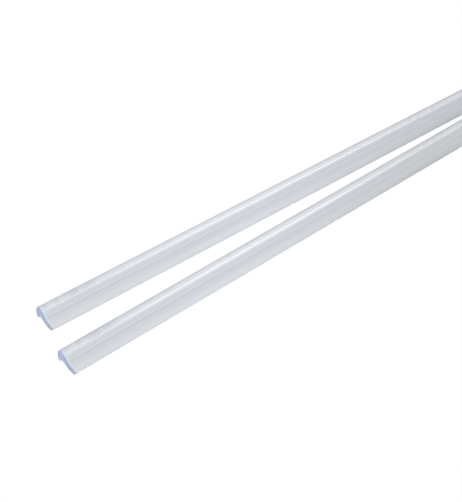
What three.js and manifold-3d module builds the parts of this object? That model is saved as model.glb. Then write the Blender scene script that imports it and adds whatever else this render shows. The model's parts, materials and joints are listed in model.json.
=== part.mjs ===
// A pair of edge-lit LED light tubes, laid side by side on a flat surface.
//
// Each tube is a solid clear light guide, extruded in a hooked section: a round head that
// carries most of the light, a short lip at its back and a thick flange that sweeps down to a
// flat foot. The guide is cut square and bare at one end. The other end plugs into a small
// housing that holds the LEDs, their heat sink, the driver, a push button and a power jack.
//
// Units are millimetres, +Z is up and the surface is at z = 0. The finished pair has its origin
// at the middle of the flat underside of tube A's housing, and +X runs along tube A from its
// bare end to its housing. Each tube is first built in its own frame, where x = 0 is the bare
// end and y = 0 is just inside the lip.

import * as THREE from "three";
import { mergeVertices } from "three/addons/utils/BufferGeometryUtils.js";
import Module from "manifold-3d";

// ---- Driving dimensions ----------------------------------------------------------------

const GUIDE_LENGTH = 490;
const FOOT_WIDTH = 16; // from just inside the lip to the outer edge of the foot
const HEAD_RADIUS = 3.7;
const HEAD_CENTRE = { y: -2.3, z: 9.2 };
const LIP = { inner: 0.6, outer: 1.4, bottom: 1.4 }; // the lip's tip, which hangs above the surface

const SOCKET_DEPTH = 16; // how far the guide goes into the housing
const HOUSING_LENGTH = 60;
const HOUSING_TOP = 18;
const HOUSING_SIDES = { low: -20.2, high: 4.4 };
const HOUSING_EDGE = 3; // radius of the long edges
const END_BEVEL = 1.2; // rounding of the two ends
const WALL = 1.6;
const PARTING = 9; // height of the joint between base and cover

const CLEARANCE = 0.35; // round the guide in its socket, and round the jack
const CONTACT_GAP = 0.1; // between pieces that touch
const OVERCUT = 1; // how far a cutting tool runs past the faces it cuts
const BUTTON_TRAVEL = 0.6;

// How tube B lies beside tube A: the pair draws together towards the housings.
const TUBE_B = { x: -14.1, y: -47.4, turnDegrees: 2.1 };

// ---- Places along a tube, worked out from the above ------------------------------------

const HOUSING_START = GUIDE_LENGTH - SOCKET_DEPTH;
const HOUSING_END = HOUSING_START + HOUSING_LENGTH;
const CAVITY = {
  x: [GUIDE_LENGTH + 0.8, HOUSING_END - WALL],
  y: [HOUSING_SIDES.low + WALL, HOUSING_SIDES.high - WALL],
  z: [WALL, HOUSING_TOP - WALL],
};
const MIDDLE_Y = (HOUSING_SIDES.low + HOUSING_SIDES.high) / 2;
const PAD = { x: GUIDE_LENGTH + 0.3, thickness: 0.8 };
const GRIP = { x: [HOUSING_START + 3.5, GUIDE_LENGTH - 3.5], y: [-15.5, -8.5], z: [4.2, 13] };
const LED = { size: [0.9, 2.8, 3.5], windowRadius: 1.15, windowHeight: 0.25 };
const LED_PLACES = [
  { y: -1.6, z: 7.6 },
  { y: -6.6, z: 6.2 },
  { y: -11.6, z: 4.2 },
];
const LED_BOARD = { x: GUIDE_LENGTH + 3.1, thickness: 1.6, y: [-18.2, 2.4], z: [2, 12.8] };
const SINK = {
  x: LED_BOARD.x + LED_BOARD.thickness + 0.2,
  margin: 0.2, // how much smaller it is than the LED board, all round
  plate: 2.5,
  length: 11,
  finThickness: 1.2,
  fins: 7,
};
const SLOT = { count: 5, spacing: 2.4, length: 12, width: 1.2, first: SINK.x + 2, depth: 6 };
const DRIVER = { x: [GUIDE_LENGTH + 18, HOUSING_END - WALL - 0.5], width: 10.8, z: 4.2, thickness: 1.2 };
const DRIVER_TOP = DRIVER.z + DRIVER.thickness + CONTACT_GAP;
const RAIL = { inset: 1.5, thickness: 1.2, width: 8 };
const INDUCTOR = {
  x: DRIVER.x[0] + 3.4,
  y: MIDDLE_Y - 2,
  width: 5,
  flange: 0.8,
  height: 3,
  drumRadius: 2.1,
};
const CAPACITOR = { x: DRIVER.x[0] + 3.2, y: MIDDLE_Y + 3.1, radius: 1.9, height: 5.4 };
const SWITCH = { x: GUIDE_LENGTH + 27, size: 6, height: 3.4, boreRadius: 1.8 };
const CHIP = { x: SWITCH.x + 4.6, y: MIDDLE_Y - 3.2, length: 2.2, width: 3, height: 1 };
const PLUNGER = { radius: 1.6, bottom: DRIVER_TOP + 2.7, top: DRIVER_TOP + 4.8 };
const BUTTON = { radius: 3.8, edge: 0.5, flangeRadius: 5, flange: 1, stemRadius: 1.6, above: 1.3 };
const JACK = { length: 10.6, width: 9, height: 10, boreRadius: 3.15, boreDepth: 9, pinRadius: 1 };
const JACK_X = [HOUSING_END - 0.1 - JACK.length, HOUSING_END - 0.1];
const JACK_AXIS = DRIVER_TOP + JACK.height / 2;
const SCREW = { radius: 1.1, headRadius: 2, headHeight: 1.5, edge: 0.5, length: 12, recess: 0.4 };
const SCREW_HOLE = { shank: SCREW.radius + 0.15, thread: SCREW.radius + 0.1, head: SCREW.headRadius + 0.2 };
const BOSS = { radius: 2.5, inset: 2.3 };
const SCREW_PLACES = [GUIDE_LENGTH + 21, HOUSING_END - 4].flatMap((x) => [
  { x, y: CAVITY.y[1] - BOSS.inset },
  { x, y: CAVITY.y[0] + BOSS.inset },
]);
const WIRE = { radius: 0.5, spacing: 2.8, height: CAVITY.z[1] - 1.15 };

// ---- Materials -------------------------------------------------------------------------

const finish = (color, roughness, metalness = 0) =>
  new THREE.MeshStandardMaterial({ color, roughness, metalness });

const clearPlastic = finish(0xd4dae6, 0.12);
const housingPlastic = finish(0xdfe2e8, 0.45);
const buttonPlastic = finish(0xaeb4c0, 0.4);
const silicone = finish(0xc9ced8, 0.6);
const boardWhite = finish(0xf0f0ea, 0.5);
const boardGreen = finish(0x1f6b45, 0.5);
const phosphor = finish(0xf1dc7a, 0.35);
const aluminium = finish(0xb9bcc1, 0.35, 1);
const steel = finish(0xc4c6ca, 0.3, 1);
const brass = finish(0xc9a860, 0.3, 1);
const blackPlastic = finish(0x1b1c1f, 0.45);
const redWire = finish(0xb3261e, 0.4);

// ---- Solids ----------------------------------------------------------------------------

const wasm = await Module();
wasm.setup();

// A closed geometry as a solid that can be joined and cut.
function solidOf(geometry) {
  const bare = new THREE.BufferGeometry();
  bare.setAttribute("position", geometry.getAttribute("position"));
  bare.setIndex(geometry.index);
  const merged = mergeVertices(bare, 1e-4);
  return new wasm.Manifold(
    new wasm.Mesh({
      numProp: 3,
      vertProperties: merged.getAttribute("position").array,
      triVerts: new Uint32Array(merged.index.array),
    }),
  );
}

function geometryOf(solid) {
  const { vertProperties, triVerts } = solid.getMesh();
  const geometry = new THREE.BufferGeometry();
  geometry.setAttribute("position", new THREE.BufferAttribute(vertProperties, 3));
  geometry.setIndex(new THREE.BufferAttribute(triVerts, 1));
  geometry.computeVertexNormals();
  return geometry;
}

// A box between two limits on each axis.
function box([x0, x1], [y0, y1], [z0, z1]) {
  const geometry = new THREE.BoxGeometry(x1 - x0, y1 - y0, z1 - z0);
  return geometry.translate((x0 + x1) / 2, (y0 + y1) / 2, (z0 + z1) / 2);
}

const around = (middle, size) => [middle - size / 2, middle + size / 2];

function uprightCylinder(x, y, radius, [z0, z1], sides = 20) {
  const geometry = new THREE.CylinderGeometry(radius, radius, z1 - z0, sides);
  return geometry.rotateX(Math.PI / 2).translate(x, y, (z0 + z1) / 2);
}

function lyingCylinder([x0, x1], y, z, radius, sides = 20) {
  const geometry = new THREE.CylinderGeometry(radius, radius, x1 - x0, sides);
  return geometry.rotateZ(Math.PI / 2).translate((x0 + x1) / 2, y, z);
}

// A shape drawn in (y, z), drawn out along X.
const DRAWN_IN_YZ = new THREE.Matrix4().makeBasis(
  new THREE.Vector3(0, 1, 0),
  new THREE.Vector3(0, 0, 1),
  new THREE.Vector3(1, 0, 0),
);

function alongX(shape, [x0, x1], rounding = 0) {
  const geometry = new THREE.ExtrudeGeometry(shape, {
    depth: x1 - x0 - 2 * rounding,
    bevelEnabled: rounding > 0,
    bevelThickness: rounding,
    bevelSize: rounding,
    bevelOffset: -rounding,
    bevelSegments: 3,
    curveSegments: 5,
  });
  return geometry.applyMatrix4(DRAWN_IN_YZ).translate(x0 + rounding, 0, 0);
}

// A profile of [radius, height] pairs, turned about an upright axis.
function turned(profile, x, y, sides = 24) {
  const points = profile.map(([radius, height]) => new THREE.Vector2(radius, height));
  return new THREE.LatheGeometry(points, sides).rotateX(Math.PI / 2).translate(x, y, 0);
}

function roundedRectangle([y0, y1], [z0, z1], radius) {
  const shape = new THREE.Shape();
  shape.moveTo(y0 + radius, z0);
  shape.lineTo(y1 - radius, z0);
  shape.absarc(y1 - radius, z0 + radius, radius, -Math.PI / 2, 0);
  shape.lineTo(y1, z1 - radius);
  shape.absarc(y1 - radius, z1 - radius, radius, 0, Math.PI / 2);
  shape.lineTo(y0 + radius, z1);
  shape.absarc(y0 + radius, z1 - radius, radius, Math.PI / 2, Math.PI);
  shape.lineTo(y0, z0 + radius);
  shape.absarc(y0 + radius, z0 + radius, radius, Math.PI, 1.5 * Math.PI);
  return shape;
}

// ---- The light guide's section ---------------------------------------------------------

const HEAD_START = THREE.MathUtils.degToRad(150); // where the flange's sweep meets the head
const HEAD_FINISH = THREE.MathUtils.degToRad(25); // where the head turns into its back

function guideOutline() {
  const onHead = (angle) => [
    HEAD_CENTRE.y + HEAD_RADIUS * Math.cos(angle),
    HEAD_CENTRE.z + HEAD_RADIUS * Math.sin(angle),
  ];
  const shape = new THREE.Shape();
  shape.moveTo(LIP.inner, LIP.bottom);
  shape.quadraticCurveTo(-0.1, 2.1, -0.5, 2.9); // the lip's inner side
  shape.bezierCurveTo(-0.8, 3.8, -1.6, 4.2, -2.7, 3.8); // the root of the lip
  shape.bezierCurveTo(-5.6, 2.8, -8.6, 0.4, 4.4 - FOOT_WIDTH, 0); // under the flange
  shape.lineTo(-FOOT_WIDTH, 0); // the foot
  shape.lineTo(-FOOT_WIDTH - 2.1, 2.6); // the slanted nose
  shape.quadraticCurveTo(-FOOT_WIDTH - 2.5, 3.2, -FOOT_WIDTH - 1.7, 3.2);
  shape.bezierCurveTo(-14.6, 3.6, -9, 7.4, ...onHead(HEAD_START)); // the sweep
  shape.absarc(HEAD_CENTRE.y, HEAD_CENTRE.z, HEAD_RADIUS, HEAD_START, HEAD_FINISH, true);
  shape.bezierCurveTo(2.4, 8.5, 3.3, 5.4, LIP.outer, LIP.bottom); // the back of head and lip
  return distinct(shape.getPoints(14));
}

const distinct = (points) =>
  points.filter((p, i) => p.distanceTo(points[(i + 1) % points.length]) > 1e-3);

// The outline moved outwards by a distance, or inwards by a negative one.
function offsetOutline(points, distance) {
  const side = THREE.ShapeUtils.isClockWise(points) ? 1 : -1;
  return points.map((point, i) => {
    const before = points[(i + points.length - 1) % points.length];
    const after = points[(i + 1) % points.length];
    const into = point.clone().sub(before).normalize();
    const out = after.clone().sub(point).normalize();
    const mitre = new THREE.Vector2(-into.y - out.y, into.x + out.x).normalize();
    const stretch = side / Math.max(0.5, mitre.dot(new THREE.Vector2(-into.y, into.x)));
    return point.clone().addScaledVector(mitre, distance * stretch);
  });
}

const outline = guideOutline();
const guideShape = (offset = 0) => new THREE.Shape(offsetOutline(outline, offset));

// ---- The pieces of one tube ------------------------------------------------------------

const lightGuide = () => alongX(guideShape(), [0, GUIDE_LENGTH]);

// The clear silicone wafer between the guide's end and the LEDs.
const couplingPad = () => alongX(guideShape(), [PAD.x, PAD.x + PAD.thickness]);

// The rubber block in the cover that presses on the flange and holds the guide.
function gripPad() {
  const block = solidOf(box(GRIP.x, GRIP.y, GRIP.z));
  const guide = solidOf(alongX(guideShape(CONTACT_GAP), [0, GUIDE_LENGTH]));
  return geometryOf(block.subtract(guide));
}

// What the housing's two halves have in common: the closed outside, hollowed out.
function housingShell() {
  const outside = roundedRectangle(
    [HOUSING_SIDES.low, HOUSING_SIDES.high],
    [0, HOUSING_TOP],
    HOUSING_EDGE,
  );
  const socket = alongX(guideShape(CLEARANCE), [HOUSING_START - OVERCUT, CAVITY.x[0] + OVERCUT]);
  const jackHole = box(
    [HOUSING_END - WALL - OVERCUT, HOUSING_END + OVERCUT],
    around(MIDDLE_Y, JACK.width + 2 * CLEARANCE),
    [DRIVER_TOP - CLEARANCE, DRIVER_TOP + JACK.height + CLEARANCE],
  );
  const pocket = box(
    [GRIP.x[0] - CLEARANCE, GRIP.x[1] + CLEARANCE],
    [GRIP.y[0] - CLEARANCE, GRIP.y[1] + CLEARANCE],
    [GRIP.z[0] - CLEARANCE, GRIP.z[1] + CLEARANCE],
  );
  return solidOf(alongX(outside, [HOUSING_START, HOUSING_END], END_BEVEL))
    .subtract(solidOf(box(CAVITY.x, CAVITY.y, CAVITY.z)))
    .subtract(solidOf(pocket))
    .subtract(solidOf(socket))
    .subtract(solidOf(jackHole));
}

// Everything between two heights, to keep one half of the shell.
const slab = (z0, z1) =>
  box(
    [HOUSING_START - OVERCUT, HOUSING_END + OVERCUT],
    [HOUSING_SIDES.low - OVERCUT, HOUSING_SIDES.high + OVERCUT],
    [z0, z1],
  );

function housingBase() {
  const top = PARTING - CONTACT_GAP / 2;
  const seat = SCREW.recess + SCREW.headHeight + CONTACT_GAP;
  let base = housingShell().intersect(solidOf(slab(-OVERCUT, top)));
  for (const { x, y } of SCREW_PLACES) {
    const boss = solidOf(uprightCylinder(x, y, BOSS.radius, [WALL / 2, top]));
    base = base.add(boss);
  }
  for (const { x, y } of SCREW_PLACES) {
    base = base
      .subtract(solidOf(uprightCylinder(x, y, SCREW_HOLE.shank, [-OVERCUT, top + OVERCUT])))
      .subtract(solidOf(uprightCylinder(x, y, SCREW_HOLE.head, [-OVERCUT, seat])));
  }
  for (const x of [DRIVER.x[0] + RAIL.inset, DRIVER.x[1] - RAIL.inset]) {
    const height = [WALL / 2, DRIVER.z - CONTACT_GAP];
    const rail = box(around(x, RAIL.thickness), around(MIDDLE_Y, RAIL.width), height);
    base = base.add(solidOf(rail));
  }
  return geometryOf(base);
}

function housingCover() {
  const bottom = PARTING + CONTACT_GAP / 2;
  const reach = SCREW.recess + SCREW.length + 0.5;
  let cover = housingShell().intersect(solidOf(slab(bottom, HOUSING_TOP + OVERCUT)));
  for (const { x, y } of SCREW_PLACES) {
    const boss = solidOf(uprightCylinder(x, y, BOSS.radius, [bottom, HOUSING_TOP - WALL / 2]));
    cover = cover.add(boss);
    cover = cover.subtract(solidOf(uprightCylinder(x, y, SCREW_HOLE.thread, [0, reach])));
  }
  const buttonRadius = BUTTON.radius + 0.3;
  const roof = [CAVITY.z[1] - OVERCUT, HOUSING_TOP + OVERCUT];
  cover = cover.subtract(solidOf(uprightCylinder(SWITCH.x, MIDDLE_Y, buttonRadius, roof, 32)));
  return geometryOf(cover.subtract(coolingSlots()));
}

// Slots through the cover, above the heat sink.
function coolingSlots() {
  const half = SLOT.length / 2;
  const outline = roundedRectangle([-half, half], [0, SLOT.width], SLOT.width / 2 - 0.01);
  const slots = [];
  for (let i = 0; i < SLOT.count; i++) {
    const geometry = new THREE.ExtrudeGeometry(outline, {
      depth: SLOT.depth,
      bevelEnabled: false,
      curveSegments: 4,
    });
    geometry.rotateZ(Math.PI / 2);
    geometry.translate(SLOT.first + i * SLOT.spacing, MIDDLE_Y, CAVITY.z[1] - 2);
    slots.push(solidOf(geometry));
  }
  return slots.reduce((all, slot) => all.add(slot));
}

const ledBoard = () =>
  box([LED_BOARD.x, LED_BOARD.x + LED_BOARD.thickness], LED_BOARD.y, LED_BOARD.z);

// An LED package with its round window towards the guide.
function led({ y, z }) {
  const back = LED_BOARD.x - CONTACT_GAP;
  const front = back - LED.size[0];
  const body = solidOf(box([front, back], around(y, LED.size[1]), around(z, LED.size[2])));
  const window = lyingCylinder([front - LED.windowHeight, front + 0.2], y, z, LED.windowRadius, 16);
  return geometryOf(body.add(solidOf(window)));
}

// A plate against the LED board, with fins towards the back.
function heatSink() {
  const [low, high] = [LED_BOARD.y[0] + SINK.margin, LED_BOARD.y[1] - SINK.margin];
  const height = [LED_BOARD.z[0] + SINK.margin, LED_BOARD.z[1] - SINK.margin];
  const step = (high - low - SINK.finThickness) / (SINK.fins - 1);
  let sink = solidOf(box([SINK.x, SINK.x + SINK.plate], [low, high], height));
  for (let i = 0; i < SINK.fins; i++) {
    const side = low + i * step;
    const length = [SINK.x + SINK.plate / 2, SINK.x + SINK.length];
    sink = sink.add(solidOf(box(length, [side, side + SINK.finThickness], height)));
  }
  return geometryOf(sink);
}

const driverBoard = () =>
  box(DRIVER.x, around(MIDDLE_Y, DRIVER.width), [DRIVER.z, DRIVER.z + DRIVER.thickness]);

// A power inductor: a drum between two square flanges.
function inductor() {
  const { x, y, width, flange, height, drumRadius } = INDUCTOR;
  const plate = (z0) => solidOf(box(around(x, width), around(y, width), [z0, z0 + flange]));
  const inside = [DRIVER_TOP + flange / 2, DRIVER_TOP + height - flange / 2];
  const drum = solidOf(uprightCylinder(x, y, drumRadius, inside));
  return geometryOf(plate(DRIVER_TOP).add(drum).add(plate(DRIVER_TOP + height - flange)));
}

// An electrolytic capacitor: a can with a groove near its foot and a rounded top.
function capacitor() {
  const { x, y, radius, height } = CAPACITOR;
  const profile = [
    [0, 0],
    [radius, 0],
    [radius, 0.6],
    [radius - 0.2, 0.9],
    [radius, 1.2],
    [radius, height - 0.4],
    [radius - 0.3, height],
    [0, height],
  ];
  return turned(profile.map(([r, z]) => [r, DRIVER_TOP + z]), x, y);
}

const driverChip = () =>
  box(around(CHIP.x, CHIP.length), around(CHIP.y, CHIP.width), [DRIVER_TOP, DRIVER_TOP + CHIP.height]);

// The switch under the button, open at the top for its plunger.
function tactSwitch() {
  const height = [DRIVER_TOP, DRIVER_TOP + SWITCH.height];
  const body = box(around(SWITCH.x, SWITCH.size), around(MIDDLE_Y, SWITCH.size), height);
  const bore = [PLUNGER.bottom - BUTTON_TRAVEL - CLEARANCE, height[1] + OVERCUT];
  const hole = uprightCylinder(SWITCH.x, MIDDLE_Y, SWITCH.boreRadius, bore);
  return geometryOf(solidOf(body).subtract(solidOf(hole)));
}

const switchPlunger = () =>
  uprightCylinder(SWITCH.x, MIDDLE_Y, PLUNGER.radius, [PLUNGER.bottom, PLUNGER.top]);

// The button: a cap in the cover, a flange that holds it in and a stem down to the plunger.
function buttonCap() {
  const under = PLUNGER.top + CONTACT_GAP;
  const roof = CAVITY.z[1] - 0.2;
  const top = HOUSING_TOP + BUTTON.above;
  const profile = [
    [0, under],
    [BUTTON.stemRadius, under],
    [BUTTON.stemRadius, roof - BUTTON.flange],
    [BUTTON.flangeRadius, roof - BUTTON.flange],
    [BUTTON.flangeRadius, roof],
    [BUTTON.radius, roof],
    [BUTTON.radius, top - BUTTON.edge],
    [BUTTON.radius - BUTTON.edge, top],
    [0, top - 0.3],
  ];
  return turned(profile, SWITCH.x, MIDDLE_Y, 32);
}

function powerJack() {
  const height = [DRIVER_TOP, DRIVER_TOP + JACK.height];
  const body = box(JACK_X, around(MIDDLE_Y, JACK.width), height);
  const depth = [JACK_X[1] - JACK.boreDepth, JACK_X[1] + OVERCUT];
  const bore = lyingCylinder(depth, MIDDLE_Y, JACK_AXIS, JACK.boreRadius, 28);
  return geometryOf(solidOf(body).subtract(solidOf(bore)));
}

function jackPin() {
  const length = [JACK_X[1] - JACK.boreDepth + CONTACT_GAP, JACK_X[1] - 1];
  return lyingCylinder(length, MIDDLE_Y, JACK_AXIS, JACK.pinRadius, 12);
}

// A wire from the driver, over the heat sink, to the top edge of the LED board.
function wire(y) {
  const boardX = LED_BOARD.x + LED_BOARD.thickness / 2;
  const path = new THREE.CatmullRomCurve3([
    new THREE.Vector3(DRIVER.x[0] + 0.4, y, DRIVER_TOP),
    new THREE.Vector3(DRIVER.x[0] - 0.6, y, DRIVER_TOP + 5),
    new THREE.Vector3(SINK.x + SINK.length - 1, y, WIRE.height),
    new THREE.Vector3(boardX + 3, y, WIRE.height),
    new THREE.Vector3(boardX + 0.5, y, WIRE.height - 0.8),
    new THREE.Vector3(boardX, y, LED_BOARD.z[1] + 0.3),
  ]);
  const section = new THREE.Shape();
  section.absarc(0, 0, WIRE.radius, 0, 2 * Math.PI);
  return new THREE.ExtrudeGeometry(section, { steps: 20, extrudePath: path, curveSegments: 4 });
}

// A pan-head screw, head down, from under the base up into the cover.
function housingScrew({ x, y }) {
  const head = SCREW.recess + SCREW.headHeight;
  const end = SCREW.recess + SCREW.length;
  const profile = [
    [0, SCREW.recess],
    [SCREW.headRadius - SCREW.edge, SCREW.recess],
    [SCREW.headRadius, SCREW.recess + SCREW.edge],
    [SCREW.headRadius, head],
    [SCREW.radius, head],
    [SCREW.radius, end - 1],
    [0, end],
  ];
  return turned(profile, x, y, 16);
}

// ---- The assembly ----------------------------------------------------------------------

function lightTube(name) {
  const tube = new THREE.Group();
  const add = (piece, geometry, material) => {
    const mesh = new THREE.Mesh(geometry, material);
    mesh.name = `${name}_${piece}`;
    tube.add(mesh);
  };
  add("light_guide", lightGuide(), clearPlastic);
  add("housing_base", housingBase(), housingPlastic);
  add("housing_cover", housingCover(), housingPlastic);
  add("grip_pad", gripPad(), silicone);
  add("coupling_pad", couplingPad(), silicone);
  add("led_board", ledBoard(), boardWhite);
  LED_PLACES.forEach((place, i) => add(`led_${i + 1}`, led(place), phosphor));
  add("heat_sink", heatSink(), aluminium);
  add("driver_board", driverBoard(), boardGreen);
  add("driver_inductor", inductor(), blackPlastic);
  add("driver_capacitor", capacitor(), aluminium);
  add("driver_chip", driverChip(), blackPlastic);
  add("power_jack", powerJack(), blackPlastic);
  add("power_jack_pin", jackPin(), brass);
  add("switch_body", tactSwitch(), blackPlastic);
  add("switch_plunger", switchPlunger(), blackPlastic);
  add("push_button", buttonCap(), buttonPlastic);
  add("red_wire", wire(MIDDLE_Y + WIRE.spacing / 2), redWire);
  add("black_wire", wire(MIDDLE_Y - WIRE.spacing / 2), blackPlastic);
  SCREW_PLACES.forEach((place, i) => add(`housing_screw_${i + 1}`, housingScrew(place), steel));
  return tube;
}

const tubeA = lightTube("tube_a");
const tubeB = lightTube("tube_b");
tubeB.position.set(TUBE_B.x, TUBE_B.y, 0);
tubeB.rotation.z = THREE.MathUtils.degToRad(TUBE_B.turnDegrees);

const pair = new THREE.Group();
pair.add(tubeA, tubeB);
pair.position.set(-(HOUSING_START + HOUSING_END) / 2, -MIDDLE_Y, 0);

export default pair;
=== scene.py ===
# Looks for the edge-lit LED light tube pair. Lengths are in metres, in the CAD model's frame.

import json
import math

import bpy
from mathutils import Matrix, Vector

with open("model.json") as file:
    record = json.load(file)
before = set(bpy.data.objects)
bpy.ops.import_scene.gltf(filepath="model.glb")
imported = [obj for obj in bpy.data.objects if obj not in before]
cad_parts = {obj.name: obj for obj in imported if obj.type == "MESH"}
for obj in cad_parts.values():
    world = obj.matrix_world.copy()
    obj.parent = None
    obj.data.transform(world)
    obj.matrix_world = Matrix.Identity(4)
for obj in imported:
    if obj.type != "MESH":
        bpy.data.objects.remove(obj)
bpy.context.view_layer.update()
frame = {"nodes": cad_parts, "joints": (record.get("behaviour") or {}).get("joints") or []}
nodes = frame["nodes"]

MM = 0.001
TUBES = ("tube_a", "tube_b")


# ---- Node helpers ----------------------------------------------------------------------


def new_material(name):
    """A node material, with its Principled node and a function that adds nodes to it."""
    material = bpy.data.materials.new(name)
    material.use_nodes = True
    tree = material.node_tree
    shader = tree.nodes["Principled BSDF"]

    def add(kind, inputs=None, **settings):
        node = tree.nodes.new(kind)
        for key, value in settings.items():
            setattr(node, key, value)
        for key, value in (inputs or {}).items():
            if isinstance(value, bpy.types.NodeSocket):
                tree.links.new(value, node.inputs[key])
            else:
                node.inputs[key].default_value = value
        return node

    def link(socket, target, key):
        tree.links.new(socket, target.inputs[key])

    return material, shader, add, link


def stretched(add, scale):
    """Object coordinates, stretched by a scale on each axis."""
    coordinates = add("ShaderNodeTexCoord").outputs["Object"]
    mapping = add("ShaderNodeMapping", {"Vector": coordinates, "Scale": scale})
    return mapping.outputs["Vector"]


def noise(add, vector, scale, detail=3.0, roughness=0.55):
    return add(
        "ShaderNodeTexNoise",
        {"Vector": vector, "Scale": scale, "Detail": detail, "Roughness": roughness},
    ).outputs["Fac"]


def remap(add, value, low, high, start=0.3, end=0.7):
    """A value between start and end, spread between low and high."""
    return add(
        "ShaderNodeMapRange",
        {"Value": value, "From Min": start, "From Max": end, "To Min": low, "To Max": high},
    ).outputs["Result"]


def mixed(add, factor, first, second):
    return add(
        "ShaderNodeMix",
        {"Factor": factor, 6: first, 7: second},
        data_type="RGBA",
    ).outputs[2]


def multiplied(add, first, second):
    return add(
        "ShaderNodeMix",
        {0: 1.0, 6: first, 7: second},
        data_type="RGBA",
        blend_type="MULTIPLY",
    ).outputs[2]


def mixed_value(add, factor, first, second):
    return add("ShaderNodeMix", {0: factor, 2: first, 3: second}).outputs[0]


# ---- Materials -------------------------------------------------------------------------


CREASE = 11.05  # height in mm of the crease between the flange and the round head
TOP = 12.9  # height in mm of the guide

# Greys down the guide's section, as pairs of height in mm and brightness, near the bare end and
# far from it. They are painted shading of the clear plastic, and not only its colour: the head is
# painted brighter than the flange as a painted highlight, and two dark lines and a light one are
# painted along the flange. The far greys are darker: painted shade away from the bare end.
NEAR_PAINTED_SHADING = (
    (0.0, 0.82),
    (3.0, 0.90),
    (3.3, 0.945),
    (3.9, 0.92),
    (4.8, 0.845),
    (5.6, 0.80),
    (6.6, 0.785),
    (7.2, 0.76),
    (7.45, 0.72),
    (7.8, 0.79),
    (8.1, 0.87),
    (8.4, 0.85),
    (8.8, 0.715),
    (9.2, 0.79),
    (9.8, 0.82),
    (10.2, 0.83),
    (10.5, 0.93),
    (10.8, 1.0),
    (11.2, 0.98),
    (12.6, 1.0),
    (TOP, 0.97),
)
FAR_PAINTED_SHADING = (
    (0.0, 0.62),
    (3.0, 0.65),
    (3.3, 0.68),
    (5.4, 0.70),
    (7.45, 0.67),
    (8.1, 0.74),
    (8.8, 0.66),
    (10.2, 0.69),
    (10.5, 0.74),
    (10.8, 0.84),
    (11.2, 0.82),
    (12.6, 0.86),
    (TOP, 0.90),
)
# Painted shade: the guide is painted darker from near to far over this span.
PAINTED_FALLOFF = {"tube_a": (0.19, 0.41), "tube_b": (0.16, 0.37)}  # from near to far, m from the bare end
PAINTED_LEVEL = {"tube_a": (1, 1, 1, 1), "tube_b": (0.97, 0.97, 0.97, 1)}  # each tube's painted shade

# The clear plastic along the guide.
WHITE = (1, 1, 1, 1)
BODY = ((0.935, 0.95, 0.973, 1), (0.95, 0.965, 0.983, 1))  # the tints of its cloudy patches
DIE_LINE = (0.91, 0.915, 0.925, 1)  # fine drawn lines
PAINTED_HEAD_SHADE = (0.93, 0.935, 0.945, 1)  # painted shade on the head near the bare end
PAINTED_HEAD_SHADE_SPAN = (0.030, 0.130)  # where that painted shade fades out, m from the bare end
HEAD_PATCH = (0.86, 0.88, 0.885, 1)  # hazy darker patches on the head near the bare end
HEAD_PATCH_SPAN = (0.030, 0.060)  # where those patches fade out, m from the bare end
RIM_HIGHLIGHT = (0.75, 0.83, 0.95, 1)  # painted highlight on the rim next to the bare end
RIM_DEPTH = (0.0005, 0.0025)  # where the rim's painted highlight fades out, m from the bare end
RIM_SHARE = 0.9
EDGE = (0.3, 0.9)  # how far a surface turns from view while it is painted darker
# Painted shade on surfaces seen nearly edge-on.
EDGE_SHADE = (0.92, 0.92, 0.92, 1)
HEAD_STEP = 0.1  # height in mm over which the flange's finish turns into the head's
ROUGH = (0.16, 0.24)
HEAD_ROUGH = (0.26, 0.34)
LINE_GRAIN = ((2.5, 900, 900), 3.0, 0.6)  # scale along, across and up, detail, roughness
CLOUD_GRAIN = ((14, 60, 60), 4.0)
HAZE_GRAIN = ((170, 25, 25), 2.0)
BUMP = 0.05
BUMP_DEPTH = 0.00002  # m
TRANS = 0.22
IOR = 1.49
SHADOW_TINT = (0.86, 0.88, 0.91, 1)  # what the plastic takes from the light that passes through

# The sawn end: its colour is given as pairs of place across in mm and colour, from the tip of
# the flange to the back of the head.
ENDS = (
    (-20.7, (0.57, 0.565, 0.60, 1)),
    (-18.5, (0.59, 0.62, 0.70, 1)),
    (-12.0, (0.60, 0.64, 0.82, 1)),
    (-6.5, (0.63, 0.69, 1.0, 1)),
    (-3.0, (0.65, 0.71, 0.98, 1)),
    (0.0, (0.61, 0.65, 0.72, 1)),
)
END_FACING = (0.75, 0.9)  # how squarely a face has to face along the guide to be the sawn end
END_ROUGH = 0.35
SAW_MARKS = ((0.92, 0.93, 0.97, 1), (1.08, 1.07, 1.03, 1))
SAW_GRAIN = ((150, 150, 150), 2.0)
# A painted glow on the sawn ends, which are no lamp.
PAINTED_GLOW = (0.35, 0.55, 1.0, 1)
PAINTED_GLOW_LEVEL = 0.07
LIP = (0.95, 0.97, 1.0, 1)  # the lip's tip, which fades to nearly white
LIP_HEIGHT = (1.8, 4.4)  # where the fade ends, mm above the surface
LIP_PLACE = (-5.6, -5.0)  # where the lip ends, mm across
LIP_SHARE = 0.95


def bands(add, height, stops):
    """A painted grey that changes with height, for shading of the clear plastic."""
    ramp = add("ShaderNodeValToRGB", {"Fac": remap(add, height, 0.0, 1.0, 0.0, TOP * MM)})
    elements = ramp.color_ramp.elements
    elements[1].position = 1.0
    for place, _ in stops[1:-1]:
        elements.new(place / TOP)
    for element, (_, grey) in zip(elements, stops):
        element.color = (grey, grey, grey, 1)
    return ramp.outputs["Color"]


def end_colour(add, across):
    """The sawn end's colour, which changes across it."""
    low, high = ENDS[0][0], ENDS[-1][0]
    ramp = add("ShaderNodeValToRGB", {"Fac": remap(add, across, 0.0, 1.0, low * MM, high * MM)})
    for place, _ in ENDS[1:-1]:
        ramp.color_ramp.elements.new((place - low) / (high - low))
    for element, (_, colour) in zip(ramp.color_ramp.elements, ENDS):
        element.color = colour
    return ramp.outputs["Color"]


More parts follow.
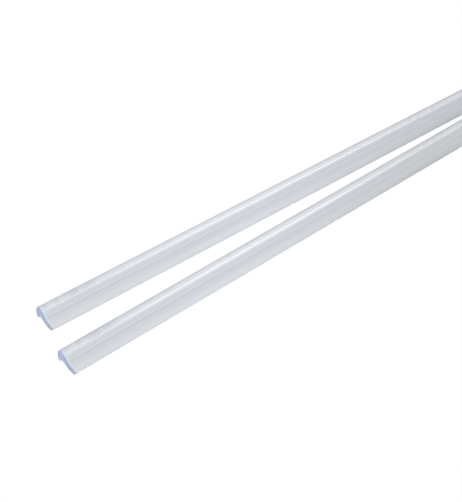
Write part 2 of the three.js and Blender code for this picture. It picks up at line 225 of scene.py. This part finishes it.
def guide_frame(tube):
    """The back corner of a guide's bare end, and the angle that the guide is turned by."""
    pull = next(j for j in frame["joints"] if j["name"] == f"{tube}_light_guide_pull")
    along = -Vector(pull["axis"])
    across = Vector((-along.y, along.x, 0))
    points = [vertex.co for vertex in nodes[f"{tube}_light_guide"].data.vertices]
    start = min(point @ along for point in points)
    back = max(point @ across for point in points)
    return along * start + across * back, math.atan2(along.y, along.x)


def clear_plastic(tube):
    """Clear, faintly blue extruded plastic with die lines along it, sawn ends and painted shading."""
    material, shader, add, link = new_material(f"{tube}_clear_plastic")
    corner, turn = guide_frame(tube)
    here = add(
        "ShaderNodeMapping",
        {
            "Vector": add("ShaderNodeTexCoord").outputs["Object"],
            "Location": corner,
            "Rotation": (0, 0, turn),
        },
        vector_type="TEXTURE",
    ).outputs["Vector"]
    place = add("ShaderNodeSeparateXYZ", {"Vector": here}).outputs

    def grain(scale, detail, roughness=0.55):
        here_scaled = add("ShaderNodeMapping", {"Vector": here, "Scale": scale})
        return noise(add, here_scaled.outputs["Vector"], 1.0, detail, roughness)

    lines, cloud, haze = grain(*LINE_GRAIN), grain(*CLOUD_GRAIN), grain(*HAZE_GRAIN)

    # The body: its painted shading from near to far, its tint and the drawn lines.
    near, far = bands(add, place["Z"], NEAR_PAINTED_SHADING), bands(add, place["Z"], FAR_PAINTED_SHADING)
    grey = mixed(add, remap(add, place["X"], 0.0, 1.0, *PAINTED_FALLOFF[tube]), near, far)
    tint = multiplied(add, mixed(add, cloud, *BODY), PAINTED_LEVEL[tube])
    drawn = mixed(add, remap(add, lines, 0.0, 1.0), DIE_LINE, WHITE)
    body = multiplied(add, multiplied(add, tint, grey), drawn)

    # The head near the bare end has hazy darker patches and a painted shade.
    on_head = remap(add, place["Z"], 0.0, 1.0, CREASE * MM, (CREASE + HEAD_STEP) * MM)
    patch_span = remap(add, place["X"], 1.0, 0.0, *HEAD_PATCH_SPAN)
    patched = add("ShaderNodeMath", {0: on_head, 1: patch_span}, operation="MULTIPLY").outputs[0]
    patches = mixed(add, remap(add, haze, 0.0, 1.0, 0.4, 0.6), HEAD_PATCH, WHITE)
    body = multiplied(add, body, mixed(add, patched, WHITE, patches))
    head_shade_span = remap(add, place["X"], 1.0, 0.0, *PAINTED_HEAD_SHADE_SPAN)
    head_shade = add("ShaderNodeMath", {0: on_head, 1: head_shade_span}, operation="MULTIPLY").outputs[0]
    body = multiplied(add, body, mixed(add, head_shade, WHITE, PAINTED_HEAD_SHADE))
    # A painted highlight on the rim next to the bare end.
    body = mixed(add, remap(add, place["X"], RIM_SHARE, 0.0, *RIM_DEPTH), body, RIM_HIGHLIGHT)

    # Painted shade: surfaces seen nearly edge-on are painted darker.
    grazing = remap(add, add("ShaderNodeLayerWeight").outputs["Facing"], 0.0, 1.0, *EDGE)
    body = multiplied(add, body, mixed(add, grazing, WHITE, EDGE_SHADE))

    # Faces that look along the guide are sawn, apart from the fading tip of the lip.
    facing = add("ShaderNodeNewGeometry").outputs["True Normal"]
    facing = add("ShaderNodeVectorRotate", {"Vector": facing, "Angle": -turn}, rotation_type="Z_AXIS")
    facing = add("ShaderNodeSeparateXYZ", {"Vector": facing.outputs["Vector"]}).outputs["X"]
    size = add("ShaderNodeMath", {0: facing}, operation="ABSOLUTE").outputs[0]
    at_end = remap(add, size, 0.0, 1.0, *END_FACING)
    saw_marks = mixed(add, grain(*SAW_GRAIN), *SAW_MARKS)
    sawn = multiplied(add, end_colour(add, place["Y"]), saw_marks)
    low = remap(add, place["Z"], LIP_SHARE, 0.0, *(height * MM for height in LIP_HEIGHT))
    behind = remap(add, place["Y"], 0.0, 1.0, *(across * MM for across in LIP_PLACE))
    tip = add("ShaderNodeMath", {0: low, 1: behind}, operation="MULTIPLY").outputs[0]
    sawn = mixed(add, tip, sawn, LIP)

    link(mixed(add, at_end, body, sawn), shader, "Base Color")
    polish = mixed_value(add, on_head, remap(add, cloud, *ROUGH), remap(add, cloud, *HEAD_ROUGH))
    link(mixed_value(add, at_end, polish, END_ROUGH), shader, "Roughness")
    bump = add("ShaderNodeBump", {"Height": lines, "Strength": BUMP, "Distance": BUMP_DEPTH})
    link(bump.outputs["Normal"], shader, "Normal")
    # A painted glow on the sawn ends, which are no lamp.
    shader.inputs["Emission Color"].default_value = PAINTED_GLOW
    link(mixed_value(add, at_end, 0.0, PAINTED_GLOW_LEVEL), shader, "Emission Strength")
    shader.inputs["Transmission Weight"].default_value = TRANS
    shader.inputs["IOR"].default_value = IOR
    let_light_through(material, shader, add, link, SHADOW_TINT)
    return material


def let_light_through(material, shader, add, link, tint):
    """Lets lamps and bounced light pass straight through a see-through plastic."""
    path = add("ShaderNodeLightPath").outputs
    passing = add(
        "ShaderNodeMath",
        {0: path["Is Shadow Ray"], 1: path["Is Diffuse Ray"]},
        operation="MAXIMUM",
    ).outputs[0]
    clear = add("ShaderNodeBsdfTransparent", {"Color": tint})
    mix = add("ShaderNodeMixShader", {0: passing})
    link(shader.outputs["BSDF"], mix, 1)
    link(clear.outputs["BSDF"], mix, 2)
    output = material.node_tree.nodes["Material Output"]
    link(mix.outputs["Shader"], output, "Surface")


SMUDGED = 0.86  # how bright a smudge on moulded plastic is, next to the plastic itself
SPOTTED = 0.8  # the same for a spot on metal
SMUDGE_SCALE = 60.0
SPOT_SCALE = 300.0


def moulded(name, colour, rough=(0.38, 0.5), grain=4000.0):
    """Moulded plastic or rubber with a fine spark-eroded grain and faint rubbing."""
    material, shader, add, link = new_material(name)
    here = stretched(add, (1, 1, 1))
    texture = noise(add, here, grain, 2.0)
    smudge = noise(add, here, SMUDGE_SCALE, 4.0)
    darker = tuple(c * SMUDGED for c in colour) + (1,)
    link(mixed(add, smudge, darker, tuple(colour) + (1,)), shader, "Base Color")
    link(remap(add, smudge, *rough), shader, "Roughness")
    bump = add("ShaderNodeBump", {"Height": texture, "Strength": 0.5, "Distance": BUMP_DEPTH})
    link(bump.outputs["Normal"], shader, "Normal")
    return material


def metal(name, colour, rough=(0.22, 0.42), stretch=(40, 900, 900)):
    """Metal with drawn or brushed lines."""
    material, shader, add, link = new_material(name)
    lines = noise(add, stretched(add, stretch), 1.0, 3.0)
    spots = noise(add, stretched(add, (1, 1, 1)), SPOT_SCALE, 3.0)
    darker = tuple(c * SPOTTED for c in colour) + (1,)
    link(mixed(add, spots, darker, tuple(colour) + (1,)), shader, "Base Color")
    link(remap(add, lines, *rough), shader, "Roughness")
    bump = add("ShaderNodeBump", {"Height": lines, "Strength": 0.2, "Distance": BUMP_DEPTH})
    link(bump.outputs["Normal"], shader, "Normal")
    shader.inputs["Metallic"].default_value = 1.0
    return material


MATERIALS = {
    "housing_cover": moulded("cover_plastic", (0.50, 0.53, 0.58)),
    "housing_base": moulded("base_plastic", (0.36, 0.385, 0.43)),
    "push_button": moulded("button_plastic", (0.13, 0.145, 0.17), (0.3, 0.4)),
    "pad": moulded("silicone", (0.55, 0.6, 0.68), (0.5, 0.65), 900.0),
    "led_board": moulded("white_board", (0.85, 0.85, 0.8), (0.3, 0.45), 2500.0),
    "driver_board": moulded("green_board", (0.012, 0.14, 0.055), (0.25, 0.4), 2500.0),
    "led": moulded("phosphor", (0.9, 0.72, 0.16), (0.25, 0.4), 5000.0),
    "black": moulded("black_plastic", (0.012, 0.013, 0.015), (0.35, 0.5)),
    "red_wire": moulded("red_insulation", (0.45, 0.02, 0.013), (0.3, 0.4)),
    "aluminium": metal("aluminium", (0.66, 0.67, 0.69)),
    "steel": metal("steel", (0.6, 0.61, 0.63), (0.18, 0.32), (300, 300, 300)),
    "brass": metal("brass", (0.72, 0.5, 0.2), (0.15, 0.3)),
}
GUIDES = {tube: clear_plastic(tube) for tube in TUBES}
FINISH = {
    "housing_base": "housing_base",
    "housing_cover": "housing_cover",
    "push_button": "push_button",
    "grip_pad": "pad",
    "coupling_pad": "pad",
    "led_board": "led_board",
    "driver_board": "driver_board",
    "heat_sink": "aluminium",
    "driver_capacitor": "aluminium",
    "power_jack_pin": "brass",
    "red_wire": "red_wire",
}


def finish_of(tube, piece):
    """The material for a piece, by its name without the tube's."""
    if piece == "light_guide":
        return GUIDES[tube]
    if piece.startswith("housing_screw"):
        return MATERIALS["steel"]
    if piece in ("led_1", "led_2", "led_3"):
        return MATERIALS["led"]
    return MATERIALS[FINISH.get(piece, "black")]


# ---- Shading of the CAD pieces ---------------------------------------------------------


def smoothing_group(degrees):
    """A modifier's node group that shades smooth across edges flatter than an angle."""
    group = bpy.data.node_groups.new(f"smooth_{degrees}", "GeometryNodeTree")
    group.interface.new_socket("Geometry", in_out="INPUT", socket_type="NodeSocketGeometry")
    group.interface.new_socket("Geometry", in_out="OUTPUT", socket_type="NodeSocketGeometry")
    add = group.nodes.new
    start, end = add("NodeGroupInput"), add("NodeGroupOutput")
    angle = add("GeometryNodeInputMeshEdgeAngle")
    flat = add("FunctionNodeCompare")
    flat.operation = "LESS_THAN"
    flat.inputs["B"].default_value = math.radians(degrees)
    faces = add("GeometryNodeSetShadeSmooth")
    edges = add("GeometryNodeSetShadeSmooth")
    edges.domain = "EDGE"
    link = group.links.new
    link(angle.outputs["Unsigned Angle"], flat.inputs["A"])
    link(start.outputs["Geometry"], faces.inputs["Geometry"])
    link(faces.outputs["Geometry"], edges.inputs["Geometry"])
    link(flat.outputs["Result"], edges.inputs["Shade Smooth"])
    link(edges.outputs["Geometry"], end.inputs["Geometry"])
    return group


SMOOTH = smoothing_group(32)
SMOOTH_FINE = smoothing_group(9)  # for the guides, whose curves have short facets


def shade(obj):
    """Smooth shading on the curves of a piece, with its flat faces kept flat."""
    modifier = obj.modifiers.new("smooth", "NODES")
    modifier.node_group = SMOOTH_FINE if "guide" in obj.name else SMOOTH
    weighted = obj.modifiers.new("weighted", "WEIGHTED_NORMAL")
    weighted.keep_sharp = True


for tube in TUBES:
    for name, obj in nodes.items():
        if name.startswith(tube + "_"):
            obj.data.materials.clear()
            obj.data.materials.append(finish_of(tube, name[len(tube) + 1 :]))
            shade(obj)


# ---- The stage -------------------------------------------------------------------------


def camera_only_white(name, colour):
    """A pale surface that the camera sees as pure white, and the object as plain paper."""
    material, shader, add, link = new_material(name)
    shader.inputs["Base Color"].default_value = colour
    shader.inputs["Roughness"].default_value = 0.9
    paper = noise(add, stretched(add, (1, 1, 1)), 900.0)
    bump = add("ShaderNodeBump", {"Height": paper, "Strength": 0.1, "Distance": 0.0001})
    link(bump.outputs["Normal"], shader, "Normal")
    white = add("ShaderNodeEmission", {"Color": WHITE, "Strength": 1.0})
    seen = add("ShaderNodeLightPath").outputs["Is Camera Ray"]
    mix = add("ShaderNodeMixShader", {0: seen})
    link(shader.outputs["BSDF"], mix, 1)
    link(white.outputs["Emission"], mix, 2)
    output = material.node_tree.nodes["Material Output"]
    link(mix.outputs["Shader"], output, "Surface")
    return material


FLOOR_HALF = 3.0
FLOOR_DROP = 0.0002  # keeps the floor just below the object's underside
FLOOR_COLOUR = (0.8, 0.8, 0.81, 1)

WORLD = 0.612
LOW_SKY = (0.40, 0.41, 0.44, 1)
HIGH_SKY = (0.95, 0.96, 0.98, 1)
HIGH_AT = 0.8

# Each softbox: name, place, the point it is aimed at, size and power in watts.
SOFTBOXES = (
    ("key_softbox", (-0.62, -0.25, 0.9), (-0.4, 0, 0), (0.7, 0.7), 2.55),
    ("strip_softbox", (0.35, -0.95, 0.47), (-0.2, 0, 0), (0.5, 0.42), 5.8),
)

CAMERA_PLACE = (-893.5, -670.2, 692.3)  # mm
CAMERA_HEADING = (0.6439, 0.7651, 0)
CAMERA_TILT = 39.24  # degrees below the horizon
CAMERA_LENS = 102.73  # mm
CAMERA_SENSOR = 36.0  # mm


def make_floor():
    half = FLOOR_HALF
    mesh = bpy.data.meshes.new("floor")
    corners = [(-half, -half, 0), (half, -half, 0), (half, half, 0), (-half, half, 0)]
    mesh.from_pydata(corners, [], [(0, 1, 2, 3)])
    floor = bpy.data.objects.new("floor", mesh)
    bpy.context.scene.collection.objects.link(floor)
    floor.location.z = -FLOOR_DROP
    mesh.materials.append(camera_only_white("paper", FLOOR_COLOUR))


def make_world():
    """A soft sky that is brighter overhead, and that the camera sees as pure white."""
    world = bpy.data.worlds.new("studio")
    bpy.context.scene.world = world
    world.use_nodes = True
    tree = world.node_tree
    soft = tree.nodes["Background"]
    soft.inputs["Strength"].default_value = WORLD
    direction = tree.nodes.new("ShaderNodeTexCoord")
    height = tree.nodes.new("ShaderNodeSeparateXYZ")
    tree.links.new(direction.outputs["Generated"], height.inputs["Vector"])
    ramp = tree.nodes.new("ShaderNodeValToRGB")
    ramp.color_ramp.elements[0].position = 0.0
    ramp.color_ramp.elements[0].color = LOW_SKY
    ramp.color_ramp.elements[1].position = HIGH_AT
    ramp.color_ramp.elements[1].color = HIGH_SKY
    tree.links.new(height.outputs["Z"], ramp.inputs["Fac"])
    tree.links.new(ramp.outputs["Color"], soft.inputs["Color"])
    white = tree.nodes.new("ShaderNodeBackground")
    white.inputs["Color"].default_value = WHITE
    path = tree.nodes.new("ShaderNodeLightPath")
    mix = tree.nodes.new("ShaderNodeMixShader")
    tree.links.new(path.outputs["Is Camera Ray"], mix.inputs[0])
    tree.links.new(soft.outputs["Background"], mix.inputs[1])
    tree.links.new(white.outputs["Background"], mix.inputs[2])
    tree.links.new(mix.outputs["Shader"], tree.nodes["World Output"].inputs["Surface"])


def softbox(name, place, target, size, power):
    """A soft rectangular lamp, aimed at a point."""
    data = bpy.data.lights.new(name, "AREA")
    data.shape = "RECTANGLE"
    data.size, data.size_y = size
    data.energy = power
    light = bpy.data.objects.new(name, data)
    bpy.context.scene.collection.objects.link(light)
    light.location = place
    aim = Vector(target) - Vector(place)
    light.rotation_mode = "QUATERNION"
    light.rotation_quaternion = aim.to_track_quat("-Z", "Y")


def make_camera():
    data = bpy.data.cameras.new("camera")
    camera = bpy.data.objects.new("camera", data)
    bpy.context.scene.collection.objects.link(camera)
    data.sensor_width = CAMERA_SENSOR
    data.lens = CAMERA_LENS
    data.clip_start, data.clip_end = 0.05, 50
    camera.location = Vector(CAMERA_PLACE) * MM
    tilt = math.radians(CAMERA_TILT)
    forward = Vector(CAMERA_HEADING) * math.cos(tilt) - Vector((0, 0, math.sin(tilt)))
    camera.rotation_mode = "QUATERNION"
    camera.rotation_quaternion = forward.to_track_quat("-Z", "Y")
    bpy.context.scene.camera = camera


make_floor()
make_world()
for box in SOFTBOXES:
    softbox(*box)
make_camera()
bpy.context.scene.view_settings.view_transform = "Standard"
